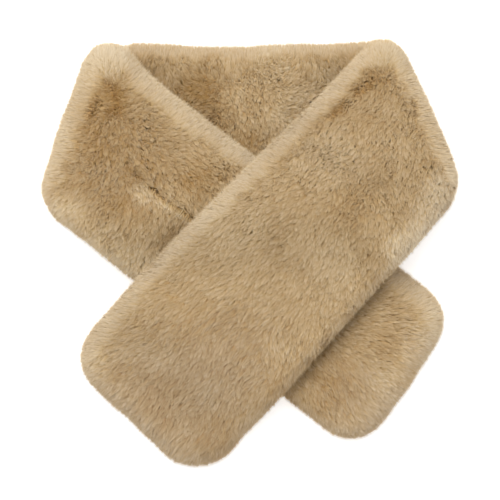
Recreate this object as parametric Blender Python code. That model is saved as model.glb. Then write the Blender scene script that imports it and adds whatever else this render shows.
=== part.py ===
"""Plush fur scarf collar lying flat: one long fur tube, folded over at both shoulders and crossed.

X runs across the wearer's shoulders, Y from the scarf's ends up to the neck, and Z up off the
surface that the scarf lies on. The back stretch lies at the bottom, the left stretch folds over it,
and the right stretch folds over both. Each stretch that shows is one solid, and its surface is
where the tips of the pile end. All sizes are in millimetres, and become metres in the meshes.
"""
from collections import namedtuple
from math import ceil, cos, hypot, pi, radians, sin, sqrt

import bmesh
import bpy

METRES_PER_MM = 0.001

# The fur tube, lying flat.
LAYER = 22.0  # one layer of the tube, from the pile tips below to those above
EDGE_ROUND = 12.0  # how far in from an edge the pile rounds off
CROWN = 4.0  # how much fuller the middle is where nothing lies on it

# How the layers lie.
LAYER_GAP = 0.8  # between a layer and the one that rests on it
SEAM_GAP = 0.3  # between two stretches of the same tube
FOLD_HOLLOW = 1.0  # radius of the hollow inside a shoulder fold
FOLD_ROUND = 20.0  # edge rounding where the tube turns over
FOLD_CLOSES = 25.0  # along the front stretch, where the fold's layers come together
FOLD_DROPS = 70.0  # along the front stretch, where the fold no longer lifts it
SLOPE_OUTSIDE = 60.0  # how far outside a lower layer's edge the upper one touches down
SLOPE_INSIDE = 6.0  # how far inside that edge it is fully up
COVER_FADE = 22.0  # how far outside an upper layer's edge the lower one is full again
COVER_INSET = 3.0  # how far inside that edge the lower one is pressed flat

# How finely the solids are divided.
RING_STEP = 10.0  # along a stretch
BEND_RINGS = 10  # round a shoulder fold
EDGE_POINTS = 4  # round each half of an edge
INNER_FRACTIONS = (0.125, 0.25, 0.375, 0.45, 0.5, 0.55, 0.625, 0.75, 0.875)  # between the edges
END_DISTANCES = (40.0, 31.0, 23.0, 16.0, 11.0, 7.0, 4.0, 2.0, 0.6)  # from a stretch's end
EDGE_TRIES = 4  # steps in finding where a line meets an edge

# The pull-through slit in the left stretch, closed but for a narrow line.
SLIT_START = 54.0  # along the stretch's own axis
SLIT_LENGTH = 110.0
SLIT_WIDTH = 3.2
SLIT_ACROSS = -3.0  # off the axis, towards the outer edge
SLIT_GROOVE = 3.0  # how deep the pile dips along it
SLIT_GROOVE_HALF = 6.0  # how far to each side it dips
SLIT_SIDES = 32  # of the lens that cuts it

# A shoulder fold: a place on the line where the front stretch starts, and how far that line leans in
# from Y. The lengths run from that place up to the neck edge and down to the outer edge, halfway
# round the turn and on the front stretch.
Fold = namedtuple("Fold", "side x y lean neck_turn neck_front outer_turn outer_front")
LEFT_FOLD = Fold(-1, -127.4, 91.0, radians(19.0), 72.0, 76.0, 61.5, 72.5)
RIGHT_FOLD = Fold(1, 123.4, 97.1, radians(23.5), 70.0, 73.0, 62.5, 74.5)
BACK_SEAM = 8.0  # how far in from that line the back stretch starts

# A front stretch's edges, a row for each section: how far along the axis each edge point lies, and
# how far off it. The axis leaves the fold at twice the fold's lean. The last row is the end, whose
# two corners have radii of their own.
Row = namedtuple("Row", "neck_along neck_off outer_along outer_off")
LEFT_ROWS = (
    Row(-9.0, 71.8, 38.0, 68.2),
    Row(12.0, 67.0, 53.0, 68.2),
    Row(60.0, 66.6, 86.0, 69.8),
    Row(110.0, 67.2, 119.0, 69.8),
    Row(190.0, 68.4, 192.0, 69.6),
    Row(262.0, 69.4, 264.0, 69.4),
    Row(318.0, 70.0, 323.0, 69.4),
)
LEFT_CORNERS = (33.0, 30.0)
RIGHT_ROWS = (
    Row(-12.0, 67.2, 44.0, 68.6),
    Row(10.0, 67.2, 58.0, 69.2),
    Row(48.0, 67.8, 84.0, 69.8),
    Row(96.0, 69.6, 112.0, 70.2),
    Row(160.0, 72.0, 168.0, 71.4),
    Row(228.0, 74.4, 236.0, 73.2),
    Row(266.0, 72.4, 270.0, 73.4),
    Row(319.0, 73.0, 319.0, 73.8),
)
RIGHT_CORNERS = (30.0, 40.0)

# The back stretch's edges run from fold to fold. Its neck edge sags, and its outer edge is hidden.
Edge = namedtuple("Edge", "left_x left_y right_x right_y sag")
BACK_NECK = Edge(-110.0, 165.0, 105.0, 166.8, 4.0)
BACK_OUTER = Edge(-150.0, 30.6, 150.0, 34.0, 0.0)

BACK_COLOUR = (0.43, 0.29, 0.17, 1.0)
LEFT_COLOUR = (0.45, 0.31, 0.18, 1.0)
RIGHT_COLOUR = (0.47, 0.32, 0.19, 1.0)
FUR_ROUGHNESS = 0.95


def eased(low, high, value):
    """0 below low, 1 above high, and a smooth step between."""
    t = min(max((value - low) / (high - low), 0.0), 1.0)
    return t * t * (3.0 - 2.0 * t)


def mixed(a, b, share):
    return a + (b - a) * share


class Frame:
    """A shoulder fold's directions on the surface: up its line, out over its turn, and the axis and
    neck side of the front stretch that leaves it."""

    def __init__(self, fold):
        self.fold = fold
        self.up = (-fold.side * sin(fold.lean), cos(fold.lean))
        self.out = (fold.side * cos(fold.lean), sin(fold.lean))
        self.axis = (-fold.side * cos(2 * fold.lean), -sin(2 * fold.lean))
        self.neck = (-fold.side * sin(2 * fold.lean), cos(2 * fold.lean))

    def on_line(self, up, out=0.0):
        """The place of a point given along the fold line and out from it."""
        return (
            self.fold.x + self.up[0] * up + self.out[0] * out,
            self.fold.y + self.up[1] * up + self.out[1] * out,
        )

    def on_stretch(self, along, off):
        """The place of a point given along the front stretch's axis and off it, to the neck."""
        return (
            self.fold.x + self.axis[0] * along + self.neck[0] * off,
            self.fold.y + self.axis[1] * along + self.neck[1] * off,
        )

    def along_and_off(self, x, y):
        dx, dy = x - self.fold.x, y - self.fold.y
        return dx * self.axis[0] + dy * self.axis[1], dx * self.neck[0] + dy * self.neck[1]

    def behind_line(self, x, y):
        """How far a point lies in from the fold line."""
        return -((x - self.fold.x) * self.out[0] + (y - self.fold.y) * self.out[1])


LEFT = Frame(LEFT_FOLD)
RIGHT = Frame(RIGHT_FOLD)


# ---- where one layer lies over another -------------------------------------------------------


def offsets_at(rows, along):
    """A front stretch's half widths at a place along it."""
    for first, last in zip(rows, rows[1:]):
        if along <= last.neck_along or last is rows[-1]:
            share = (along - first.neck_along) / (last.neck_along - first.neck_along)
            share = min(max(share, 0.0), 1.0)
            neck = mixed(first.neck_off, last.neck_off, share)
            return neck, mixed(first.outer_off, last.outer_off, share)


def inside_edges(frame, rows, x, y):
    """How far a point lies inside a front stretch's neck edge and its outer edge."""
    along, off = frame.along_and_off(x, y)
    neck, outer = offsets_at(rows, along)
    return neck - off, outer + off


def edge_y(edge, x):
    """The back stretch's edge at x."""
    share = (x - edge.left_x) / (edge.right_x - edge.left_x)
    return mixed(edge.left_y, edge.right_y, share) - edge.sag * sin(pi * min(max(share, 0.0), 1.0))


def lift(inside):
    """How much of a full layer an upper one is lifted, this far inside a lower layer's edge."""
    return eased(-SLOPE_OUTSIDE, SLOPE_INSIDE, inside)


def on_back(frame, x, y):
    """How high a front stretch lies for the back stretch and its own fold."""
    behind = frame.behind_line(x, y)
    over_back = lift(y - edge_y(BACK_OUTER, x))
    held_by_fold = 1.0 - eased(0.0, FOLD_DROPS, behind)
    lifted = 1.0 - (1.0 - over_back) * (1.0 - held_by_fold)
    opening = (2.0 * FOLD_HOLLOW - LAYER_GAP) * (1.0 - eased(0.0, FOLD_CLOSES, behind))
    return (LAYER + LAYER_GAP) * lifted + opening


def under_left(x, y):
    return on_back(LEFT, x, y)


def under_right(x, y):
    neck, outer = inside_edges(LEFT, LEFT_ROWS, x, y)
    return on_back(RIGHT, x, y) + (LAYER + LAYER_GAP) * lift(neck) * lift(outer)


def uncovered(frame, rows, x, y):
    """1 where a front stretch leaves a point free, and 0 under it."""
    neck, outer = inside_edges(frame, rows, x, y)
    return 1.0 - eased(-COVER_FADE, COVER_INSET, neck) * eased(-COVER_FADE, COVER_INSET, outer)


def crown_of_back(x, y):
    return CROWN * uncovered(LEFT, LEFT_ROWS, x, y) * uncovered(RIGHT, RIGHT_ROWS, x, y)


def crown_of_left(x, y):
    along, off = LEFT.along_and_off(x, y)
    in_slit = eased(SLIT_START - EDGE_ROUND, SLIT_START + EDGE_ROUND, along)
    in_slit *= 1.0 - eased(0.0, EDGE_ROUND, along - SLIT_START - SLIT_LENGTH)
    in_groove = max(1.0 - abs(off - SLIT_ACROSS) / SLIT_GROOVE_HALF, 0.0)
    free = uncovered(RIGHT, RIGHT_ROWS, x, y)
    return (CROWN - SLIT_GROOVE * in_slit * in_groove) * free


def crown_of_right(x, y):
    return CROWN


# ---- sections across the tube ----------------------------------------------------------------


def section(edge_round, width):
    """Points across the tube: how far from the outer edge, and how full the pile is there."""
    arc = [pi / 2 * i / EDGE_POINTS for i in range(EDGE_POINTS + 1)]
    outer = [(edge_round * (1.0 - cos(a)), sin(a)) for a in arc]
    middle = [(mixed(edge_round, width - edge_round, f), 1.0) for f in INNER_FRACTIONS]
    return outer + middle + [(width - across, full) for across, full in reversed(outer)]


def ring(outer, neck, place, edge_round=EDGE_ROUND):
    """One closed ring of points round the tube, between its two edge points. place(x, y, full,
    side, spread) gives a point's place, where side is 1 on the face that ends up outside a fold,
    and spread is 0 in the middle and 1 at the edges."""
    width = hypot(neck[0] - outer[0], neck[1] - outer[1])
    across = section(edge_round, width)
    points = []
    for side, run in ((1, across), (-1, across[-2:0:-1])):
        for distance, full in run:
            share = distance / width
            x = mixed(outer[0], neck[0], share)
            y = mixed(outer[1], neck[1], share)
            points.append(place(x, y, full, side, abs(2.0 * share - 1.0)))
    return points


def back_ring(outer, neck):
    """A ring of the layer that lies on the surface, where the fold's outside is below."""

    def place(x, y, full, side, spread):
        up = full * -side
        crown = crown_of_back(x, y) * (1.0 - spread * spread) if up > 0 else 0.0
        return x, y, LAYER / 2 * (1.0 + up) + crown

    return ring(outer, neck, place)


def front_ring(outer, neck, under, crown_at, fullness=1.0):
    """A ring of a front stretch, which lies on what is under it."""

    def place(x, y, full, side, spread):
        up = full * side * fullness
        crown = crown_at(x, y) * (1.0 - spread * spread) * max(up, 0.0)
        return x, y, under(x, y) + LAYER / 2 * (1.0 + up) + crown

    return ring(outer, neck, place)


def back_edges_by_fold(frame, inward):
    """The back layer's two edge points on a line beside the fold's."""
    ends = []
    for edge in (BACK_OUTER, BACK_NECK):
        up = 0.0
        for _ in range(EDGE_TRIES):
            x, y = frame.on_line(up, -inward)
            up += (edge_y(edge, x) - y) / frame.up[1]
        ends.append(frame.on_line(up, -inward))
    return ends


def bend_rings(frame):
    """The rings of a shoulder fold, from the back layer round to the front one."""
    fold = frame.fold
    outer, neck = back_edges_by_fold(frame, 0.0)
    neck_back = hypot(neck[0] - fold.x, neck[1] - fold.y)
    outer_back = hypot(outer[0] - fold.x, outer[1] - fold.y)
    rings = []
    for i in range(1, BEND_RINGS + 1):
        turn = pi * i / BEND_RINGS
        at_turn = sin(turn) ** 2
        front = i / BEND_RINGS
        up = mixed(mixed(neck_back, fold.neck_front, front), fold.neck_turn, at_turn)
        down = mixed(mixed(outer_back, fold.outer_front, front), fold.outer_turn, at_turn)

        def place(x, y, full, side, spread):
            radius = FOLD_HOLLOW + LAYER / 2 * (1.0 + full * side)
            out = radius * sin(turn)
            height = LAYER + FOLD_HOLLOW - radius * cos(turn)
            return x + frame.out[0] * out, y + frame.out[1] * out, height

        edge_round = mixed(EDGE_ROUND, FOLD_ROUND, at_turn)
        rings.append(ring(frame.on_line(-down), frame.on_line(up), place, edge_round))
    return rings


def smooth_rows(rows):
    """Rows about RING_STEP apart on a smooth curve through the given ones."""
    points = [rows[0]] + list(rows) + [rows[-1]]
    result = [rows[0]]
    for before, first, last, after in zip(points, points[1:], points[2:], points[3:]):
        count = max(1, ceil((last.neck_along - first.neck_along) / RING_STEP))
        for i in range(1, count + 1):
            t = i / count
            values = []
            for a, b, c, d in zip(before, first, last, after):
                bent = (2 * a - 5 * b + 4 * c - d) * t * t + (3 * b - a - 3 * c + d) * t ** 3
                values.append(b + ((c - a) * t + bent) / 2)
            result.append(Row(*values))
    return result


def stretch_rings(frame, rows, corners, under, crown_at):
    """The rings of a front stretch, from its fold to its rounded end."""
    fold = frame.fold
    start = Row(
        -sin(fold.lean) * fold.neck_front,
        cos(fold.lean) * fold.neck_front,
        sin(fold.lean) * fold.outer_front,
        cos(fold.lean) * fold.outer_front,
    )
    end = rows[-1]
    rings = []
    for row in smooth_rows((start,) + rows)[1:]:
        if row.neck_along < end.neck_along - END_DISTANCES[0] - RING_STEP / 2:
            outer = frame.on_stretch(row.outer_along, -row.outer_off)
            neck = frame.on_stretch(row.neck_along, row.neck_off)
            rings.append(front_ring(outer, neck, under, crown_at))
    for distance in END_DISTANCES:
        neck_off, outer_off = offsets_at(rows, end.neck_along - distance)
        neck_in, outer_in = (r - rounded(r, distance) for r in corners)
        outer = frame.on_stretch(end.outer_along - distance, outer_in - outer_off)
        neck = frame.on_stretch(end.neck_along - distance, neck_off - neck_in)
        fullness = rounded(EDGE_ROUND, distance) / EDGE_ROUND
        rings.append(front_ring(outer, neck, under, crown_at, fullness))
    return rings


def rounded(radius, distance):
    """The height of a quarter circle of this radius, at this distance from its foot."""
    if distance >= radius:
        return radius
    return sqrt(radius * radius - (radius - distance) ** 2)


# ---- the solids ------------------------------------------------------------------------------


def skinned(name, rings):
    """One closed solid through the rings, as an object in metres."""
    mesh = bmesh.new()
    loops = [[mesh.verts.new([c * METRES_PER_MM for c in p]) for p in points] for points in rings]
    count = len(loops[0])
    for first, last in zip(loops, loops[1:]):
        for i in range(count):
            j = (i + 1) % count
            mesh.faces.new((first[i], first[j], last[j], last[i]))
    mesh.faces.new(reversed(loops[0]))
    half = count // 2
    for i in range(half):
        across = (-i) % count, (-i - 1) % count
        corners = dict.fromkeys(loops[-1][k] for k in (i, i + 1, across[1], across[0]))
        mesh.faces.new(list(corners))
    bmesh.ops.triangulate(mesh, faces=mesh.faces)
    bmesh.ops.recalc_face_normals(mesh, faces=mesh.faces)
    data = bpy.data.meshes.new(name)
    mesh.to_mesh(data)
    mesh.free()
    data.shade_smooth()
    return bpy.data.objects.new(name, data)


def back_stretch():
    """The stretch behind the neck, lying on the surface between the two folds."""
    left_outer, left_neck = back_edges_by_fold(LEFT, BACK_SEAM)
    right_outer, right_neck = back_edges_by_fold(RIGHT, BACK_SEAM)
    count = ceil((right_neck[0] - left_neck[0]) / RING_STEP)
    rings = []
    for i in range(count + 1):
        outer_x = mixed(left_outer[0], right_outer[0], i / count)
        neck_x = mixed(left_neck[0], right_neck[0], i / count)
        outer = outer_x, edge_y(BACK_OUTER, outer_x)
        neck = neck_x, edge_y(BACK_NECK, neck_x)
        rings.append(back_ring(outer, neck))
    return skinned("back_stretch", rings)


def folded_stretch(name, frame, rows, corners, under, crown_at):
    """A front stretch with its shoulder fold, from its seam with the back stretch to its end."""
    seam = back_ring(*back_edges_by_fold(frame, BACK_SEAM - SEAM_GAP))
    line = back_ring(*back_edges_by_fold(frame, 0.0))
    rings = [seam, line] + bend_rings(frame) + stretch_rings(frame, rows, corners, under, crown_at)
    return skinned(name, rings)


def slit_cutter():
    """A very narrow lens along the left stretch's axis, tall enough to pass through every layer."""
    middle = LEFT.on_stretch(SLIT_START + SLIT_LENGTH / 2, SLIT_ACROSS)
    bpy.ops.mesh.primitive_cylinder_add(vertices=SLIT_SIDES, radius=1.0, depth=1.0)
    cutter = bpy.context.object
    cutter.name = "slit_cutter"
    size = (SLIT_LENGTH / 2, SLIT_WIDTH / 2, 6 * LAYER)
    cutter.scale = [length * METRES_PER_MM for length in size]
    cutter.rotation_euler[2] = -2.0 * LEFT_FOLD.lean
    cutter.location = (middle[0] * METRES_PER_MM, middle[1] * METRES_PER_MM, 0.0)
    cutter.hide_render = True
    cutter.display_type = "WIRE"
    return cutter


def fur_material(name, colour):
    material = bpy.data.materials.new(name)
    material.use_nodes = True
    surface = material.node_tree.nodes["Principled BSDF"]
    surface.inputs["Base Color"].default_value = colour
    surface.inputs["Roughness"].default_value = FUR_ROUGHNESS
    surface.inputs["Metallic"].default_value = 0.0
    return material


def collection(name):
    made = bpy.data.collections.new(name)
    bpy.context.scene.collection.children.link(made)
    return made


def build():
    for old in list(bpy.data.objects):
        bpy.data.objects.remove(old, do_unlink=True)

    back = back_stretch()
    left_form = (LEFT, LEFT_ROWS, LEFT_CORNERS, under_left, crown_of_left)
    left = folded_stretch("left_stretch", *left_form)
    right_form = (RIGHT, RIGHT_ROWS, RIGHT_CORNERS, under_right, crown_of_right)
    right = folded_stretch("right_stretch", *right_form)

    parts = collection("fur_collar_wrap")
    for piece, colour in ((back, BACK_COLOUR), (left, LEFT_COLOUR), (right, RIGHT_COLOUR)):
        parts.objects.link(piece)
        piece.data.materials.append(fur_material(piece.name + "_fur", colour))

    cutter = slit_cutter()
    for home in list(cutter.users_collection):
        home.objects.unlink(cutter)
    collection("cutters").objects.link(cutter)
    slit = left.modifiers.new("slit", "BOOLEAN")
    slit.operation = "DIFFERENCE"
    slit.solver = "EXACT"
    slit.object = cutter

    # The origin is the middle of the footprint, on the surface.
    places = [v.co for piece in (back, left, right) for v in piece.data.vertices]
    middle = [(min(p[i] for p in places) + max(p[i] for p in places)) / 2 for i in (0, 1)]
    for piece in (back, left, right, cutter):
        piece.location.x -= middle[0]
        piece.location.y -= middle[1]


build()
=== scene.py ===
"""Looks of the fur collar wrap: its knitted backing, its plush pile, and a plain table to lie on.

The scarf is one flat tube of faux fur, folded over at both shoulders and crossed. X runs across the
shoulders, Y up to the back of the neck and Z off the table. Lengths are in metres.
"""
from collections import namedtuple
from math import cos, pi, radians, sin, tan

import bmesh
import bpy
import numpy as np
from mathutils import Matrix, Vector, noise
from mathutils.bvhtree import BVHTree
from mathutils.kdtree import KDTree


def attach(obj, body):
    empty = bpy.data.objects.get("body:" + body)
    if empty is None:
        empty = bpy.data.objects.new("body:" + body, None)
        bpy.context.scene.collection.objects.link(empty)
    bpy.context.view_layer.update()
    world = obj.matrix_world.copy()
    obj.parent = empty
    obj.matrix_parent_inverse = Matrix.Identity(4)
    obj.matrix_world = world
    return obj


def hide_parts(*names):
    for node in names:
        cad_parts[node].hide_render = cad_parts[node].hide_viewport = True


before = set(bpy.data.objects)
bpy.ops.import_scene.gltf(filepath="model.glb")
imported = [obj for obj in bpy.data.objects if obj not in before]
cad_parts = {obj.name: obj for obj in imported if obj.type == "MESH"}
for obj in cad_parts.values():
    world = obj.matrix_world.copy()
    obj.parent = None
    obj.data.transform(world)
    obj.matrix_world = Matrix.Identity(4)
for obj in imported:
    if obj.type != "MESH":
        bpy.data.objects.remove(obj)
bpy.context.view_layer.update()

# ---- The tube's form ---------------------------------------------------------------------------
# Two strips of faux fur are sewn face to face along their edges and turned, which makes one long
# flat tube with pile all round. Here each stretch that shows is taken up as a plain surface at the
# tips of its pile, open where it runs on into the next stretch.

MM = 0.001
STRETCHES = ("back", "left", "right")
WELD = 0.01 * MM
SAME_PLANE = 0.1 * MM  # how far apart two faces of one flat side may lie
SEAM_AREA = 1500 * MM * MM  # a parted end is larger than this, and any other flat side is smaller
LEVEL = 0.02  # how far the normal of an upright face may tilt
STEEP = 0.5  # and that of a wall of the slit
LONGEST_EDGE = 7 * MM

# The pull-through slit in the left stretch, where the other end is pulled through when worn.
SLIT_MIDDLE = np.array((-43.2, 23.0)) * MM
SLIT_LENGTH = 110 * MM
SLIT_WIDTH = 3.2 * MM
SLIT_MARGIN = 1 * MM  # that counts with it past each end
SLIT_TURN = radians(-38)
SLIT_WAY = np.array((cos(SLIT_TURN), sin(SLIT_TURN)))
SLIT_END = SLIT_MIDDLE + SLIT_WAY * SLIT_LENGTH / 2


def by_slit(point):
    """Whether a point lies in the slit or right at its rim, seen from above."""
    away = np.array(point[:2]) - SLIT_MIDDLE
    across = away @ (-SLIT_WAY[1], SLIT_WAY[0])
    return abs(away @ SLIT_WAY) < SLIT_LENGTH / 2 + SLIT_MARGIN and abs(across) < SLIT_WIDTH


def open_ends(mesh):
    """Takes away the flat faces where the tube was parted from the next stretch."""
    upright = [f for f in mesh.faces if abs(f.normal.z) < LEVEL]
    groups = []
    for face in sorted(upright, key=lambda f: -f.calc_area()):
        depth = face.normal.dot(face.calc_center_median())
        for normal, group_depth, faces in groups:
            if face.normal.dot(normal) > 1 - LEVEL**2 and abs(depth - group_depth) < SAME_PLANE:
                faces.append(face)
                break
        else:
            groups.append((face.normal.copy(), depth, [face]))
    for _, _, faces in groups:
        if sum(f.calc_area() for f in faces) > SEAM_AREA:
            bmesh.ops.delete(mesh, geom=faces, context="FACES")


def close_slit(mesh):
    """Takes away the slit's walls and fills the lens-shaped hole in both faces of the tube."""
    walls = [f for f in mesh.faces if by_slit(f.calc_center_median()) and abs(f.normal.z) < STEEP]
    bmesh.ops.delete(mesh, geom=walls, context="FACES")
    open_edges = [e for e in mesh.edges if e.is_boundary]
    rims = [e for e in open_edges if by_slit((e.verts[0].co + e.verts[1].co) / 2)]
    filled = bmesh.ops.holes_fill(mesh, edges=rims, sides=0)
    bmesh.ops.triangulate(mesh, faces=filled["faces"])


def halve_long_edges(mesh):
    """Splits every edge that is too long, and the triangles beside it, the longest ones first."""
    long_edges = [e for e in mesh.edges if e.calc_length() > LONGEST_EDGE]
    while long_edges:
        for edge in sorted(long_edges, key=lambda e: -e.calc_length()):
            faces = list(edge.link_faces)
            middle = bmesh.utils.edge_split(edge, edge.verts[0], 0.5)[1]
            beside = {e.other_vert(middle) for e in middle.link_edges}
            for face in faces:
                across = next(v for v in face.verts if v is not middle and v not in beside)
                bmesh.utils.face_split(face, middle, across)
        long_edges = [e for e in mesh.edges if e.calc_length() > LONGEST_EDGE]


def tube_form(stretch):
    """A stretch's surface at the pile tips, welded, open at its ends and evenly divided."""
    mesh = bmesh.new()
    mesh.from_mesh(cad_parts[stretch + "_stretch"].data)
    bmesh.ops.remove_doubles(mesh, verts=mesh.verts, dist=WELD)
    open_ends(mesh)
    if stretch == "left":
        close_slit(mesh)
    halve_long_edges(mesh)
    made = bpy.data.meshes.new(stretch + "_form")
    mesh.normal_update()
    mesh.to_mesh(made)
    mesh.free()
    return made


def rows_of(vertices, name):
    """The places or normals of a mesh's vertices, as an array of rows."""
    found = np.empty(len(vertices) * 3)
    vertices.foreach_get(name, found)
    return found.reshape(-1, 3)


def spread_evenly(values, edges, times):
    """Values at the vertices, each mixed with its neighbours this many times."""
    for _ in range(times):
        total = values.copy()
        count = np.ones(len(values))
        for here, there in ((edges[:, 0], edges[:, 1]), (edges[:, 1], edges[:, 0])):
            np.add.at(total, here, values[there])
            np.add.at(count, here, 1)
        values = total / count[:, None]
    return values


def unit(vectors):
    """Each row at length 1."""
    return vectors * (1 / np.maximum(np.linalg.norm(vectors, axis=1), 1e-9))[:, None]


NORMAL_SPREADS = 4
forms = {}
for stretch in STRETCHES:
    form = tube_form(stretch)
    edges = np.array([e.vertices[:] for e in form.edges])
    normals = unit(spread_evenly(rows_of(form.vertices, "normal"), edges, NORMAL_SPREADS))
    forms[stretch] = (form, rows_of(form.vertices, "co"), normals)

# ---- Knitted backing ---------------------------------------------------------------------------
# The pile is rooted in a warp-knitted polyester cloth, a thin tube that lies flat inside the pile.
# It shows only as a darker ground where the pile parts.

PILE_DEPTH = 8.5 * MM  # from the backing out to the tips
BACKING_WALL = 1.2 * MM
BACKING_FACES = 0.3  # of the form's faces: it is smooth and hardly seen
LOOP_WIDTH = 1.1 * MM  # of one knitted wale
WAVE_SCALE = 2 * pi / 20  # at which a wave texture repeats once in a metre
SLIT_GAP = 1.6 * MM  # across the cut, at its middle
SLIT_SIDES = 24
CUT_HEIGHT = 6 * PILE_DEPTH  # goes through both walls


def linear(hex_colour):
    """A colour written as sRGB hex, as linear red, green, blue and alpha."""
    parts = [int(hex_colour[i : i + 2], 16) / 255 for i in (0, 2, 4)]
    return [p / 12.92 if p <= 0.04045 else ((p + 0.055) / 1.055) ** 2.4 for p in parts] + [1.0]


def add(tree, kind, inputs=None, **settings):
    """A node with its settings, and its inputs given as values or as sockets to link."""
    node = tree.nodes.new(kind)
    for name, value in settings.items():
        setattr(node, name, value)
    for name, value in (inputs or {}).items():
        if isinstance(value, bpy.types.NodeSocket):
            tree.links.new(value, node.inputs[name])
        else:
            node.inputs[name].default_value = value
    return node


def finish_material(name):
    """A new material, its node tree, and the Principled surface in it."""
    material = bpy.data.materials.new(name)
    material.use_nodes = True
    return material, material.node_tree, material.node_tree.nodes["Principled BSDF"]


# Brushed polyester knit: dull and darker than the pile, with faint upright wales.
knit, tree, surface = finish_material("warp_knit_backing")
place = add(tree, "ShaderNodeTexCoord")
wales = add(
    tree, "ShaderNodeTexWave",
    {"Vector": place.outputs["Object"], "Scale": WAVE_SCALE / LOOP_WIDTH, "Distortion": 2.0},
)
shade = add(tree, "ShaderNodeValToRGB", {"Fac": wales.outputs["Fac"]})
shade.color_ramp.elements[0].color = linear("6f563a")
shade.color_ramp.elements[1].color = linear("8d7150")
tree.links.new(shade.outputs["Color"], surface.inputs["Base Color"])
surface.inputs["Roughness"].default_value = 0.95
surface.inputs["Sheen Weight"].default_value = 0.2


def made_plain(piece):
    """The piece with its modifiers turned into plain mesh."""
    depsgraph = bpy.context.evaluated_depsgraph_get()
    mesh = bpy.data.meshes.new_from_object(piece.evaluated_get(depsgraph))
    piece.modifiers.clear()
    piece.data = mesh
    return piece


def new_piece(name, mesh, material):
    """A piece at the origin, in one material."""
    piece = bpy.data.objects.new(name, mesh)
    bpy.context.scene.collection.objects.link(piece)
    mesh.materials.clear()
    mesh.materials.append(material)
    return piece


# The slit is cut through both faces of the tube: a lens that is pointed at its ends.
bpy.ops.mesh.primitive_cylinder_add(vertices=SLIT_SIDES, radius=0.5, depth=1.0)
cutter = bpy.context.object
cutter.scale = (SLIT_LENGTH, SLIT_GAP, CUT_HEIGHT)
cutter.rotation_euler.z = SLIT_TURN
cutter.location.xy = SLIT_MIDDLE

backings = {}
for stretch, (form, places, normals) in forms.items():
    inner = form.copy()
    inner.vertices.foreach_set("co", (places - normals * PILE_DEPTH).ravel())
    piece = new_piece(stretch + "_backing", inner, knit)
    piece.modifiers.new("plainer", "DECIMATE").ratio = BACKING_FACES
    wall = piece.modifiers.new("wall", "SOLIDIFY")
    wall.thickness = BACKING_WALL
    wall.offset = -1.0
    if stretch == "left":
        cut = piece.modifiers.new("slit", "BOOLEAN")
        cut.operation = "DIFFERENCE"
        cut.solver = "EXACT"
        cut.object = cutter
    backings[stretch] = made_plain(piece)
bpy.data.objects.remove(cutter)

# ---- How the pile lies -------------------------------------------------------------------------
# The pile stands off the backing and leans the way it was last stroked: along the scarf to its
# ends, outwards over every edge, and apart along the slit and in a few places where the tube bends.

# Which way the pile was last stroked: the place in mm, and the way from +X and the lean in degrees.
Stroke = namedtuple("Stroke", "x y way lean")
STROKES = {
    "back": (
        Stroke(-72, 140, 75, 40),
        Stroke(-16, 152, 90, 45),
        Stroke(56, 148, 100, 40),
        Stroke(-40, 120, 190, 35),
        Stroke(0, 120, 280, 35),
        Stroke(44, 122, 10, 35),
        Stroke(0, 92, 270, 42),
    ),
    "left": (
        Stroke(-112, 150, 100, 50),
        Stroke(-128, 136, 150, 40),
        Stroke(-120, 116, 200, 25),
        Stroke(-88, 120, 20, 38),
        Stroke(-56, 96, 10, 40),
        Stroke(-144, 80, 190, 35),
        Stroke(-144, 40, 225, 40),
        Stroke(-104, 80, 260, 36),
        Stroke(-104, 32, 245, 42),
        Stroke(-72, 64, 300, 36),
        Stroke(-64, 16, 250, 42),
        Stroke(-40, 72, 320, 36),
        Stroke(-32, 40, 290, 35),
        Stroke(80, -64, -20, 50),
        Stroke(128, -48, -5, 52),
        Stroke(120, -96, -30, 52),
        Stroke(72, -112, -60, 52),
        Stroke(96, -136, -60, 54),
        Stroke(144, -40, 20, 50),
    ),
    "right": (
        Stroke(112, 156, 70, 45),
        Stroke(120, 120, 250, 38),
        Stroke(84, 116, 240, 41),
        Stroke(120, 72, 260, 43),
        Stroke(40, 56, 220, 48),
        Stroke(62, 80, 235, 50),
        Stroke(92, 84, 245, 48),
        Stroke(88, 56, 245, 49),
        Stroke(0, 40, 205, 46),
        Stroke(64, 16, 235, 44),
        Stroke(120, 8, 265, 45),
        Stroke(88, -32, 255, 48),
        Stroke(-40, -16, 222, 50),
        Stroke(0, -40, 230, 50),
        Stroke(32, -80, 252, 52),
        Stroke(-80, -56, 222, 52),
        Stroke(-40, -104, 234, 54),
        Stroke(0, -120, 248, 54),
        Stroke(-112, -72, 208, 52),
        Stroke(-56, -152, 238, 54),
    ),
}
STROKE_CORE = 4 * MM  # how far around its middle a stroke rules
STROKE_POWER = 3  # of the distance, with which it then fades

# A line that the pile leans away from. Its ends, its reach to each side, the half width of its
# bare ground and how far its lips rise are in mm, and its lean in degrees.
Parting = namedtuple("Parting", "x y to_x to_y reach gap rise lean")
PARTINGS = {
    "back": (),
    "left": (
        Parting(-88, 58, -83, 55, 1.5, 0.3, 0, 8),
        Parting(-77, 49, -67, 38.5, 3.2, 1.1, 1.2, 8),
        Parting(-67, 38.5, -55, 31, 3.2, 1.1, 1.2, 8),
        Parting(-55, 31, *SLIT_END / MM, 3.6, 1.4, 1, 10),
        Parting(-112, 132, -104, 120, 7, 0.15, 0, 28),
        Parting(-101, 114, -110, 106, 6, 0.15, 0, 26),
        Parting(-122, 118, -126, 106, 6, 0.15, 0, 26),
    ),
    "right": (
        Parting(112, 142, 101, 137, 7, 0.15, 0, 26),
        Parting(92, 128, 82, 122, 6, 0.15, 0, 26),
        Parting(72, 112, 62, 104, 6, 0.15, 0, 26),
    ),
}

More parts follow.
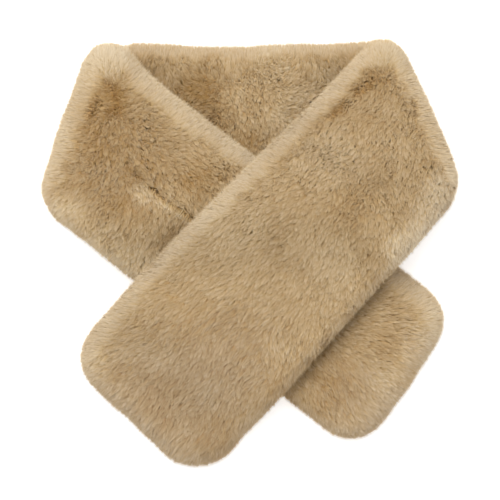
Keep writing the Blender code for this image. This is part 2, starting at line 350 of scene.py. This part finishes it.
EDGE_TILT = 0.35  # a normal this level counts as an edge of the tube
OPEN_EDGE = 0.3  # and only where this much around it is open air
EDGE_HEIGHTS = 0.3  # how much a height counts against a level distance from an edge
EDGE_POINTS = 6  # that together give the way out
BAND_NEAR = 6 * MM  # how far in from an edge that faces the front the pile points outwards
BAND_FAR = 17 * MM  # and from one that faces the neck
FRONT_TO_NECK = (-0.6, 0.4)  # Y of the way out, from the first kind of edge to the second
BAND_SHARES = {"back": 0.65, "left": 1.15, "right": 1.0}  # of those widths, on each stretch
BAND_START = 0.42  # of the band's width, where the pile begins to turn
BAND_WANDER = 5 * MM  # how far the band's inner border strays
WANDER_SIZE = 9 * MM  # from one stray to the next
EDGE_LEAN = 54  # degrees
EDGE_HOLD = 0.45  # how much of the way it was stroked the pile loses there
PARTING_CORE = 0.4  # of a parting's reach, within which it takes the whole pile
PARTING_RISE = 0.3  # how much a normal has to point up for a parting
GAP_EASE = 2.2  # of a parting's bare half width, where the pile is full again

RAYS = 36  # over a whole sphere, of which only those that leave the surface are cast
RAY_RISE = 0.15  # how steeply they have to leave it
RAY_START = 1.2 * MM
RAY_LENGTH = 80 * MM
GAP_SPREADS = 2  # how many edges further what is open reaches, so that no light shows beside a gap


def eased(low, high, values):
    """0 below low, 1 above high, and a smooth step between."""
    t = np.clip((values - low) / (high - low), 0, 1)
    return t * t * (3 - 2 * t)


def even_directions(count):
    """Directions spread evenly over a sphere, on a spiral."""
    turn = pi * (3 - 5**0.5)
    heights = (1 - (2 * i + 1) / count for i in range(count))
    return [
        Vector((cos(turn * i) * (1 - z * z) ** 0.5, sin(turn * i) * (1 - z * z) ** 0.5, z))
        for i, z in enumerate(heights)
    ]


def all_solids():
    """The three stretches' solids as one tree to cast rays at."""
    places, faces = [], []
    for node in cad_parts.values():
        faces += [[i + len(places) for i in p.vertices] for p in node.data.polygons]
        places += [v.co.copy() for v in node.data.vertices]
    return BVHTree.FromPolygons(places, faces)


def openness(places, normals, solids):
    """How much of what is around each point is open air, from 0 to 1."""
    directions = even_directions(RAYS)
    found = np.zeros(len(places))
    for i, (place, normal) in enumerate(zip(places, normals)):
        normal = Vector(normal)
        start = Vector(place) + normal * RAY_START
        looks = [d for d in directions if d.dot(normal) > RAY_RISE]
        found[i] = sum(solids.ray_cast(start, d, RAY_LENGTH)[0] is None for d in looks) / len(looks)
    return found


def edge_of(places, normals, clear):
    """How far each point lies in from the nearest edge of the tube, and the way out over it."""
    at_edge = np.flatnonzero((np.abs(normals[:, 2]) < EDGE_TILT) & (clear > OPEN_EDGE))
    squat = places * (1, 1, EDGE_HEIGHTS)
    tree = KDTree(len(at_edge))
    for i in at_edge:
        tree.insert(squat[i], i)
    tree.balance()
    distances, ways = np.empty(len(places)), np.empty((len(places), 3))
    for i, place in enumerate(squat):
        near = tree.find_n(place, EDGE_POINTS)
        distances[i] = near[0][2]
        ways[i] = sum((normals[j] for _, j, _ in near), np.zeros(3))
    ways[:, 2] = 0
    return distances, unit(ways)


Ground = namedtuple("Ground", "place normal clear inset outwards")  # one row for each point
solids = all_solids()
grounds = {}
for stretch, (form, places, normals) in forms.items():
    clear = openness(places, normals, solids)
    inset, outwards = edge_of(places, normals, clear)
    edges = np.array([e.vertices[:] for e in form.edges])
    for _ in range(GAP_SPREADS):
        nearby = clear.copy()
        np.maximum.at(nearby, edges[:, 0], clear[edges[:, 1]])
        np.maximum.at(nearby, edges[:, 1], clear[edges[:, 0]])
        clear = nearby
    grounds[stretch] = Ground(places, normals, clear, inset, outwards)


def stroked(places, strokes):
    """The level direction and lean that the nearest strokes gave the pile, as one vector."""
    ways = np.array([(cos(radians(s.way)), sin(radians(s.way))) for s in strokes])
    leans = np.array([tan(radians(s.lean)) for s in strokes])
    centres = np.array([(s.x, s.y) for s in strokes]) * MM
    away = np.linalg.norm(places[:, None, :2] - centres, axis=2)
    weight = 1 / (away**STROKE_POWER + STROKE_CORE**STROKE_POWER)
    weight /= weight.sum(axis=1, keepdims=True)
    level = weight @ (ways * leans[:, None])
    return np.column_stack([level, np.zeros(len(places))])


def combed(stretch, ground):
    """How the pile leans at each point, how far it is in an edge's band, in a band towards the neck
    and in a parting, how bare its ground is, and how much higher it stands."""
    comb = stroked(ground.place, STROKES[stretch])
    comb[ground.normal[:, 2] < 0] = 0  # no hand reached the side on the table
    faces_neck = eased(*FRONT_TO_NECK, ground.outwards[:, 1])
    width = (BAND_NEAR + (BAND_FAR - BAND_NEAR) * faces_neck) * BAND_SHARES[stretch]
    wander = [noise.noise(Vector(place) / WANDER_SIZE) for place in ground.place]
    band = 1 - eased(BAND_START * width, width, ground.inset + BAND_WANDER * np.array(wander))
    comb *= (1 - EDGE_HOLD * band)[:, None]
    comb += ground.outwards * (tan(radians(EDGE_LEAN)) * band)[:, None]
    parted, bare, rise = np.zeros(len(comb)), np.zeros(len(comb)), np.zeros(len(comb))
    for p in PARTINGS[stretch]:
        start, run = np.array((p.x, p.y)) * MM, np.array((p.to_x - p.x, p.to_y - p.y)) * MM
        along = np.clip((ground.place[:, :2] - start) @ run / (run @ run), 0, 1)
        off = np.zeros(comb.shape)
        off[:, :2] = ground.place[:, :2] - start - along[:, None] * run
        away = np.linalg.norm(off, axis=1)
        lean = np.clip((away - p.gap * MM) / PILE_DEPTH, 0, tan(radians(p.lean)))
        near = 1 - eased(PARTING_CORE, 1, away / (p.reach * MM))
        near *= ground.normal[:, 2] > PARTING_RISE
        comb = comb * (1 - near)[:, None] + unit(off) * (lean * near)[:, None]
        parted = np.maximum(parted, near)
        rise = np.maximum(rise, p.rise * MM * near)
        full = eased(p.gap * MM, GAP_EASE * p.gap * MM, away)
        bare = np.maximum(bare, (1 - full) * (near > 0))
    comb -= ground.normal * np.sum(comb * ground.normal, axis=1)[:, None]
    return comb, band, band * faces_neck, parted, bare, rise


# ---- Plush pile --------------------------------------------------------------------------------
# Acrylic and polyester fibre, cut to one length and brushed up: a short curly underfur, and longer
# straight hairs whose tips gather in small tufts. Each fibre is a narrow blade rooted on the
# backing, brown at the root and paler to its tip, which is partly its dye and partly painted shade
# for the depth of the pile.

HALF_TINT = 0.0015  # how much of the colour chart's height one fibre takes up to each side
WIDEST = 0.6  # of a fibre's length, from its root
BOW = 0.1  # of its length, how far a fibre bows out
LEAST_WIDTH, MOST_WIDTH = 0.7, 1.3  # of the width that a coat's fibres have
ABOVE_TABLE = 0.2 * MM  # no fibre reaches lower
RAMPS = (  # a browner and a creamier fibre, from root to tip
    ((0.0, "86673c"), (0.55, "a87c41"), (1.0, "c09d62")),
    ((0.0, "ab8a57"), (0.55, "cdad74"), (1.0, "f0e0c0")),
)
PAINTED_WASH_STEPS = 3  # strips of the colour chart, from full colour to washed out by painted light
PAINTED_WASH_COLOUR = 0.78  # how much of its colour a fibre keeps in the last of them
PAINTED_WASH_LIGHT = 0.97  # and of its brightness

# Dyed acrylic: dull and creamy at the tips. It is brown in the depth of the pile, partly from its
# dye and partly as painted shade.
plush, tree, surface = finish_material("dyed_acrylic_plush")
chart = add(tree, "ShaderNodeUVMap", uv_map="OFBake")
parts = add(tree, "ShaderNodeSeparateXYZ", {"Vector": chart.outputs["UV"]})
shades = []
for stops in RAMPS:
    ramp = add(tree, "ShaderNodeValToRGB", {"Fac": parts.outputs["X"]})
    ramp.color_ramp.elements.new(stops[1][0])
    for element, (spot, colour) in zip(ramp.color_ramp.elements, stops):
        element.position = spot
        element.color = linear(colour)
    shades.append(ramp.outputs["Color"])
# Painted light: the higher strips of the chart grey and dim the colour, as if light all round
# washed over the pile.
strips = add(tree, "ShaderNodeMath", {0: parts.outputs["Y"], 1: PAINTED_WASH_STEPS}, operation="MULTIPLY")
brown_to_cream = add(tree, "ShaderNodeMath", {0: strips.outputs[0]}, operation="FRACT")
step = add(tree, "ShaderNodeMath", {0: strips.outputs[0]}, operation="FLOOR")
tint = add(
    tree, "ShaderNodeMix",
    {"Factor": brown_to_cream.outputs[0], 6: shades[0], 7: shades[1]}, data_type="RGBA",
)
kept_colour, kept_light = (
    add(
        tree, "ShaderNodeMath",
        {0: step.outputs[0], 1: (kept - 1) / (PAINTED_WASH_STEPS - 1), 2: 1.0}, operation="MULTIPLY_ADD",
    ).outputs[0]
    for kept in (PAINTED_WASH_COLOUR, PAINTED_WASH_LIGHT)
)
faded = add(
    tree, "ShaderNodeHueSaturation",
    {"Saturation": kept_colour, "Value": kept_light, "Color": tint.outputs[2]},
)
tree.links.new(faded.outputs["Color"], surface.inputs["Base Color"])
surface.inputs["Roughness"].default_value = 0.75

# One fibre along Z, of length and width 1: pointed at both ends, and bowed to +Y.
blade = bpy.data.meshes.new("one_fibre")
blade.from_pydata(
    [(0, 0, 0), (-0.5, BOW, WIDEST), (0.5, BOW, WIDEST), (0, 0, 1)], [], [(0, 2, 1), (1, 2, 3)]
)
spots = [(0, 0), (WIDEST, -HALF_TINT), (WIDEST, HALF_TINT), (1, 0)]
blade.uv_layers.new(name="OFBake")
for loop in blade.loops:
    blade.uv_layers["OFBake"].data[loop.index].uv = spots[loop.vertex_index]
fibre = bpy.data.objects.new("one_fibre", blade)
bpy.context.scene.collection.objects.link(fibre)

# Geometry Nodes that stand a fibre on each root, turned and stretched to reach its tip, and move
# its spot on the colour chart up by its tone.
pile = bpy.data.node_groups.new("pile", "GeometryNodeTree")
for name, kind in (
    ("Roots", "Geometry"), ("Fibre", "Object"), ("Width", "Float"), ("Floor", "Vector"),
    ("Seed", "Int"), ("Finish", "Material"),
):
    pile.interface.new_socket(name, in_out="INPUT", socket_type="NodeSocket" + kind)
pile.interface.new_socket("Pile", in_out="OUTPUT", socket_type="NodeSocketGeometry")
given = add(pile, "NodeGroupInput").outputs


def stored(name):
    """What the roots or the fibres carry under this name."""
    kind = "GeometryNodeInputNamedAttribute"
    return add(pile, kind, {"Name": name}, data_type="FLOAT_VECTOR").outputs[0]


reach, lie, tone = stored("reach"), stored("lie"), stored("tone")
along = add(pile, "FunctionNodeAlignRotationToVector", {"Vector": reach}, axis="Z").outputs[0]
facing = add(
    pile, "FunctionNodeAlignRotationToVector", {"Rotation": along, "Vector": lie},
    axis="Y", pivot_axis="Z",
).outputs[0]
length = add(pile, "ShaderNodeVectorMath", {0: reach}, operation="LENGTH").outputs["Value"]
varied = add(
    pile, "FunctionNodeRandomValue",
    {2: LEAST_WIDTH, 3: MOST_WIDTH, "Seed": given["Seed"]}, data_type="FLOAT",
).outputs[1]
width = add(pile, "ShaderNodeMath", {0: given["Width"], 1: varied}, operation="MULTIPLY").outputs[0]
size = add(pile, "ShaderNodeCombineXYZ", {"X": width, "Y": length, "Z": length}).outputs[0]
one = add(pile, "GeometryNodeObjectInfo", {"Object": given["Fibre"]}).outputs["Geometry"]
stood = add(
    pile, "GeometryNodeInstanceOnPoints",
    {"Points": given["Roots"], "Instance": one, "Rotation": facing, "Scale": size},
).outputs[0]
real = add(pile, "GeometryNodeRealizeInstances", {"Geometry": stood}).outputs[0]
here = add(pile, "GeometryNodeInputPosition").outputs[0]
raised = add(
    pile, "ShaderNodeVectorMath", {0: here, 1: given["Floor"]}, operation="MAXIMUM"
).outputs[0]
laid = add(pile, "GeometryNodeSetPosition", {"Geometry": real, "Position": raised}).outputs[0]
spot = add(
    pile, "ShaderNodeVectorMath", {0: stored("OFBake"), 1: tone}, operation="ADD"
).outputs[0]
charted = add(
    pile, "GeometryNodeStoreNamedAttribute", {"Geometry": laid, "Name": "OFBake", "Value": spot},
    data_type="FLOAT2", domain="CORNER",
).outputs[0]
finished = add(
    pile, "GeometryNodeSetMaterial", {"Geometry": charted, "Material": given["Finish"]}
).outputs[0]
add(pile, "NodeGroupOutput", {"Pile": finished})

# Fibres per square mm; how far above and below the form they end, and their width, in mm; how many
# make a tuft, and how much of the way to its middle it pulls their tips; the tangent of how far a
# tuft and each fibre sway; how much paler they are than the rest; and the seed of their draws.
Coat = namedtuple("Coat", "per_mm2 proud drop width in_tuft pull tuft_sway sway tone seed")
COATS = {
    "underfur": Coat(0.98, -0.8, 2.6, 1.0, 10, 0.1, 0.3, 0.7, -0.03, 10),
    "long_hair": Coat(1.0, 0.5, 1.2, 0.6, 13, 0.45, 0.42, 0.15, 0.08, 20),
    "stray_hair": Coat(0.22, 2.2, 0.0, 0.3, 4, 0.3, 0.5, 0.5, 0.16, 30),
}
LEAST_DEPTH = 6.5 * MM  # of a root below the tips around it
ROOT_DEPTHS = (0.92, 1.0)  # of the pile's depth
EDGE_FUZZ = 1.6 * MM  # how much further out some fibres stand at an upright edge
MIST_SIZE = 22 * MM  # of the patches in which the pile lies and looks a little different
MIST_LEAN = 0.5  # the tangent of how far its lean strays there
BAND_SWAY = 0.5  # how much of each fibre's own sway an edge's band takes

BASE_TONE = 0.475  # from the browner to the creamier fibre
OWN_TONE = 0.15  # how far the fibres differ in tone
TUFT_TONE = 0.32  # and how far the tufts do
BAND_EVEN = 0.8  # how much of both a band towards the neck loses
MIST_TONE = 0.12  # how far the larger patches differ
PARTED_TONE = -0.06  # added in a parting
BAND_PAINTED_LIGHT = {"back": 0.05, "left": 0.22, "right": 0.22}  # added as painted light in a band towards the neck, whose edges face the softbox
LOWER_PAINTED_LIGHT = 0.15  # and as painted light on the faces turned to the table, which lie in shade
BAND_PAINTED_WASH = 0.15  # how far painted light washes out the fibres in a band towards the neck
RIM_PAINTED_WASH = 0.65  # and right at an upper edge, where light wraps over the tips
RIM = 10 * MM  # how far in from there that painted wash reaches
DITHER = 0.999  # under one step, so that none goes past the last
TONE_ENDS = (0.02, 0.98)  # these keep a fibre in its strip of the colour chart

HIDDEN_TO_OPEN = (0.02, 0.14)  # the open air around, from where pile is hidden to where it is full
HIDDEN_COVER = 0.03  # of the full pile's fibres, between two stretches
UNDER_COVER = 0.2  # and on the side that lies on the table
FAR_UNDER_COVER = 0.5  # and far in below a stretch that arches over the others
FAR_UNDER = 24 * MM  # how far in from an edge that is
FLOOR_TOUCH = 2 * MM  # below this a stretch lies on the table
TURNED_DOWN = -0.5  # the height of a normal on its underside

# A round patch, in mm, where the pile is paler or browner, and how washed out its fibres are. A few
# are the pile's own colour: browner where it parts over its roots at the folds. Most are painted
# light
# and shade: paler as painted light at edges turned from the softbox, on the slit's lips and in
# shade beside the crossing and the right neckline; darker as painted shadow beside the left
# neckline and in the notches below the crossing; and washed out, as painted shade, low on the right
# stretch.
Patch = namedtuple("Patch", "x y radius tone faded", defaults=(0,))
TONE_AND_PAINTED_LIGHT_PATCHES = {
    "back": (
        Patch(-42, 127, 24, -0.42),
        Patch(-22, 106, 18, -0.2),
        Patch(-4, 84, 20, -0.34),
        Patch(22, 147, 30, 0.2),
        Patch(60, 140, 18, 0.3),
        Patch(44, 122, 16, 0.25),
        Patch(28, 104, 14, 0.25),
    ),
    "left": (
        Patch(-110, 118, 24, -0.4),
        Patch(-122, 84, 28, -0.2),
        Patch(-92, 110, 22, -0.12),
        Patch(-134, 110, 20, -0.12),
        Patch(-100, 66, 64, -0.24, 0.15),
        Patch(-56, 72, 34, -0.05),
        Patch(-98, 26, 26, -0.18),
        Patch(-132, 50, 18, -0.12),
        Patch(-38, 54, 26, -0.3),
        Patch(-83, 43, 13, 0.42),
        Patch(-70, 38, 5, 0.45),
        Patch(-63, 33, 5, 0.45),
        Patch(-56, 28, 5, 0.45),
        Patch(-50, 24, 5, 0.4),
        Patch(-78, 111, 12, 0.1),
        Patch(-110, 154, 26, 0.3, 0.3),
        Patch(-92, -12, 26, 0.35),
        Patch(-116, 6, 24, 0.35),
        Patch(-142, 30, 22, 0.3),
        Patch(106, -104, 24, 0.15),
        Patch(148, -56, 20, 0.2),
        Patch(72, -108, 36, -0.3),
        Patch(92, -28, 16, 0.2),
        Patch(70, -56, 16, 0.2),
        Patch(138, -76, 28, 0.12, 0.3),
        Patch(104, -72, 26, -0.1),
        Patch(92, -130, 60, -0.05, 0.4),
    ),
    "right": (
        Patch(97, 130, 20, -0.22),
        Patch(82, 122, 14, -0.2),
        Patch(66, 110, 15, -0.24),
        Patch(50, 96, 14, -0.12),
        Patch(108, 150, 22, 0.2),
        Patch(58, 72, 36, 0.24),
        Patch(94, 100, 26, -0.12),
        Patch(75, 27, 36, -0.12),
        Patch(154, 46, 26, 0.45, 0.4),
        Patch(140, 22, 26, 0.45, 0.4),
        Patch(122, 0, 24, 0.45, 0.4),
        Patch(-14, 20, 34, 0.2),
        Patch(62, -14, 30, 0.15),
        Patch(72, -38, 20, 0.1),
        Patch(-8, -85, 60, -0.14, 0.25),
        Patch(-50, -50, 44, -0.1),
        Patch(-67, -120, 30, -0.16),
        Patch(-30, -146, 30, -0.15),
        Patch(24, -112, 14, -0.2),
        Patch(-124, -90, 20, 0.25),
        Patch(-66, -126, 100, -0.14, 0.5),
    ),
}
PATCH_CORE = 0.2  # of its radius, within which it has its full strength

# A round place, in mm, where the pile of an upright edge stands further out, or less far.
Fuller = namedtuple("Fuller", "x y radius by")
FULLER = {
    "back": (
        Fuller(28, 162, 34, 1.6),
        Fuller(-74, 162, 30, 1.2),
    ),
    "left": (
        Fuller(-124, 162, 16, -1.6),
        Fuller(-106, 166, 16, -2.0),
        Fuller(-150, 98, 26, 1.2),
        Fuller(110, -118, 34, 2.6),
        Fuller(132, -90, 30, 2.2),
        Fuller(149, -58, 26, 1.4),
    ),
    "right": (
        Fuller(111, 166, 18, -1.6),
        Fuller(143, 100, 50, 1.6),
        Fuller(-37, -164, 40, 2.6),
        Fuller(-75, -149, 34, 1.4),
        Fuller(-113, -113, 26, 1.6),
        Fuller(-112, -50, 34, 1.8),
    ),
}
FULLER_CORE = 0.3  # of its radius, within which it has its full strength

NOISE_SEED = 5
noise.seed_set(NOISE_SEED)  # it would otherwise be taken from the clock


def scattered(stretch, per_mm2, dice):
    """The ground under each of many points, spread over the stretch as its cover asks."""
    form, whole = forms[stretch][0], grounds[stretch]
    corners = np.array([p.vertices[:] for p in form.polygons])
    a, b, c = (whole.place[corners[:, i]] for i in range(3))
    area = np.linalg.norm(np.cross(b - a, c - a), axis=1) / 2
    turned_down = whole.normal[:, 2] < TURNED_DOWN
    on_table = turned_down & (whole.place[:, 2] < FLOOR_TOUCH)
    cover = HIDDEN_COVER + (1 - HIDDEN_COVER) * eased(*HIDDEN_TO_OPEN, whole.clear)
    cover = np.where(turned_down & (whole.inset > FAR_UNDER), cover * FAR_UNDER_COVER, cover)
    cover = np.where(on_table, UNDER_COVER, cover)[corners].mean(axis=1)
    count = np.floor(area * cover * per_mm2 / MM**2 + dice.random(len(area))).astype(int)
    rows = np.repeat(corners, count, axis=0)
    weights = dice.dirichlet((1, 1, 1), len(rows))
    return Ground(*(np.einsum("ij,ij...->i...", weights, values[rows]) for values in whole))


def sunk(roots, form):
    """The roots, moved further in where a bend and their lean bring them too near the skin."""
    faces = [p.vertices[:] for p in form.polygons]
    skin = BVHTree.FromPolygons([v.co for v in form.vertices], faces)
    for i, root in enumerate(roots):
        nearest, outwards, _, _ = skin.find_nearest(root)
        short = LEAST_DEPTH - (nearest - Vector(root)).dot(outwards)
        if short > 0:
            roots[i] -= np.array(outwards) * short
    return roots


def in_tufts(places, in_tuft):
    """The middle of each tuft, and which tuft each fibre belongs to."""
    middles = places[::in_tuft]
    tree = KDTree(len(middles))
    for i, middle in enumerate(middles):
        tree.insert(middle, i)
    tree.balance()
    return middles, np.array([tree.find(place)[1] for place in places])


def chart_heights(stretch, ground, tone, lit_neck_band, dice):
    """How far up the colour chart each fibre is, by its tone and by how far painted light and shade
    wash it out.
    """
    upper = np.clip(ground.normal[:, 2], 0, 1)
    # Painted light: paler in the band along the edges towards the neck, which face the softbox, and
    # on the faces turned to the table, which lie in shade.
    tone += BAND_PAINTED_LIGHT[stretch] * lit_neck_band + LOWER_PAINTED_LIGHT * np.clip(-ground.normal[:, 2], 0, 1)
    # Painted light: greyed in the band towards the neck and at the upper edges, as light wrapping
    # over the tips.
    faded = BAND_PAINTED_WASH * lit_neck_band + RIM_PAINTED_WASH * (1 - eased(0, RIM, ground.inset)) * upper
    # Patches: browner partings of the pile's own, and painted light and painted shade.
    for patch in TONE_AND_PAINTED_LIGHT_PATCHES[stretch]:
        away = np.linalg.norm(ground.place[:, :2] / MM - (patch.x, patch.y), axis=1)
        there = (1 - eased(PATCH_CORE, 1, away / patch.radius)) * (upper > 0)
        tone += patch.tone * there
        faded += patch.faded * there
    step = np.clip(faded, 0, 1) * (PAINTED_WASH_STEPS - 1) + dice.random(len(tone)) * DITHER
    return (np.floor(step) + np.clip(tone, *TONE_ENDS)) / PAINTED_WASH_STEPS


def stood_up(name, coat, roots, tips, normals, heights):
    """The piece with a fibre from each root to its tip."""
    mesh = bpy.data.meshes.new(name)
    mesh.vertices.add(len(roots))
    mesh.vertices.foreach_set("co", roots.ravel())
    toned = np.zeros(roots.shape)
    toned[:, 1] = heights
    carried = {"reach": tips - roots, "lie": normals, "tone": toned}
    for key, values in carried.items():
        attribute = mesh.attributes.new(key, "FLOAT_VECTOR", "POINT")
        attribute.data.foreach_set("vector", values.ravel())
    piece = new_piece(name, mesh, plush)
    growth = piece.modifiers.new("pile", "NODES")
    growth.node_group = pile
    values = {
        "Fibre": fibre, "Width": coat.width * MM, "Floor": (-1.0, -1.0, ABOVE_TABLE),
        "Seed": coat.seed, "Finish": plush,
    }
    for socket in pile.interface.items_tree:
        if socket.name in values:
            growth[socket.identifier] = values[socket.name]
    made_plain(piece)
    for key in carried:
        piece.data.attributes.remove(piece.data.attributes[key])
    return piece


def grown(stretch, coat_name, turn):
    """One coat of a stretch's pile."""
    coat = COATS[coat_name]
    dice = np.random.default_rng(coat.seed + turn)
    ground = scattered(stretch, coat.per_mm2, dice)
    comb, band, lit_neck_band, parted, bare, rise = combed(stretch, ground)
    kept = dice.random(len(bare)) >= bare
    comb, band, lit_neck_band, parted, rise = (v[kept] for v in (comb, band, lit_neck_band, parted, rise))
    ground = Ground(*(values[kept] for values in ground))
    place, normal = ground.place, unit(ground.normal)
    ground = ground._replace(normal=normal)

    middles, tuft = in_tufts(place, coat.in_tuft)
    mist = np.array([noise.noise(Vector(m) / MIST_SIZE) for m in middles])[tuft]
    wave = np.array([noise.noise_vector(Vector(m) / MIST_SIZE) for m in middles])[tuft]
    swayed = dice.uniform(-1, 1, (len(middles), 3))[tuft]
    tuft_tone = dice.random(len(middles))[tuft]

    loose = 1 - band**2
    pull = middles[tuft] - place
    pull -= normal * np.sum(pull * normal, axis=1)[:, None]
    drop = dice.uniform(-coat.proud, coat.drop, len(place)) * MM - rise
    upright = 1 - normal[:, 2] ** 2
    for fuller in FULLER[stretch]:
        away = np.linalg.norm(place[:, :2] / MM - (fuller.x, fuller.y), axis=1)
        drop -= fuller.by * MM * (1 - eased(FULLER_CORE, 1, away / fuller.radius)) * upright
    drop -= EDGE_FUZZ * upright * dice.random(len(place))
    tip = place - normal * drop[:, None] + pull * (coat.pull * loose)[:, None]

    shared = swayed * coat.tuft_sway + wave * MIST_LEAN
    lean = comb + shared * (loose * (1 - parted))[:, None]
    lean += dice.uniform(-1, 1, place.shape) * (coat.sway * (1 - BAND_SWAY * band))[:, None]
    lean -= normal * np.sum(lean * normal, axis=1)[:, None]
    depth = PILE_DEPTH * dice.uniform(*ROOT_DEPTHS, len(place))
    root = sunk(place - (normal + lean) * depth[:, None], forms[stretch][0])

    mottled = OWN_TONE * (dice.random(len(place)) - 0.5) + TUFT_TONE * (tuft_tone - 0.5)
    tone = BASE_TONE + coat.tone + mottled * (1 - BAND_EVEN * lit_neck_band)
    tone += MIST_TONE * mist + PARTED_TONE * parted
    heights = chart_heights(stretch, ground, tone, lit_neck_band, dice)
    return stood_up(stretch + "_" + coat_name, coat, root, tip, normal, heights)


coats = {}
for turn, stretch in enumerate(STRETCHES):
    coats[stretch] = [grown(stretch, coat_name, turn) for coat_name in COATS]
bpy.data.objects.remove(fibre)

for stretch in STRETCHES:
    for piece in (backings[stretch], *coats[stretch]):
        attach(piece, "root")
        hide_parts(stretch + "_stretch")

# ---- Table, light and camera -------------------------------------------------------------------
# A plain white table in even light from all around, with one large softbox high up beyond the neck
# edge and a little to the left. The camera looks straight down.

FLOOR_SIDE = 6.0
TABLE_GLOW = 0.56  # keeps the table white up to the scarf
AROUND_STRENGTH = 0.64
SOFTBOX_PLACE = Vector((-0.4, 1.2, 2.1))
SOFTBOX_SIDE = 1.9
SOFTBOX_POWER = 46
CAMERA_PLACE = (0.0001172, 0.0014972, 1.5)
FOCAL_LENGTH = 135  # mm
SENSOR_WIDTH = 36  # mm

# Matt white board: even and very bright, so that only the shade close to the scarf shows on it.
white, tree, surface = finish_material("white_table")
surface.inputs["Base Color"].default_value = linear("f4f4f4")
surface.inputs["Roughness"].default_value = 0.9
surface.inputs["Emission Color"].default_value = (1, 1, 1, 1)
surface.inputs["Emission Strength"].default_value = TABLE_GLOW
bpy.ops.mesh.primitive_plane_add(size=FLOOR_SIDE)
floor = bpy.context.object
floor.name = "table"
floor.data.materials.append(white)

world = bpy.data.worlds.new("studio")
world.use_nodes = True
world.node_tree.nodes["Background"].inputs["Color"].default_value = (1, 1, 1, 1)
world.node_tree.nodes["Background"].inputs["Strength"].default_value = AROUND_STRENGTH
bpy.context.scene.world = world

lamp = bpy.data.lights.new("far_softbox", "AREA")
lamp.size = SOFTBOX_SIDE
lamp.energy = SOFTBOX_POWER
light = bpy.data.objects.new("far_softbox", lamp)
light.location = SOFTBOX_PLACE
light.rotation_euler = (-SOFTBOX_PLACE).to_track_quat("-Z", "Y").to_euler()
bpy.context.scene.collection.objects.link(light)

lens = bpy.data.cameras.new("camera")
lens.lens = FOCAL_LENGTH
lens.sensor_width = SENSOR_WIDTH
camera = bpy.data.objects.new("camera", lens)
camera.location = CAMERA_PLACE
bpy.context.scene.collection.objects.link(camera)
bpy.context.scene.camera = camera
bpy.context.scene.view_settings.view_transform = "Standard"
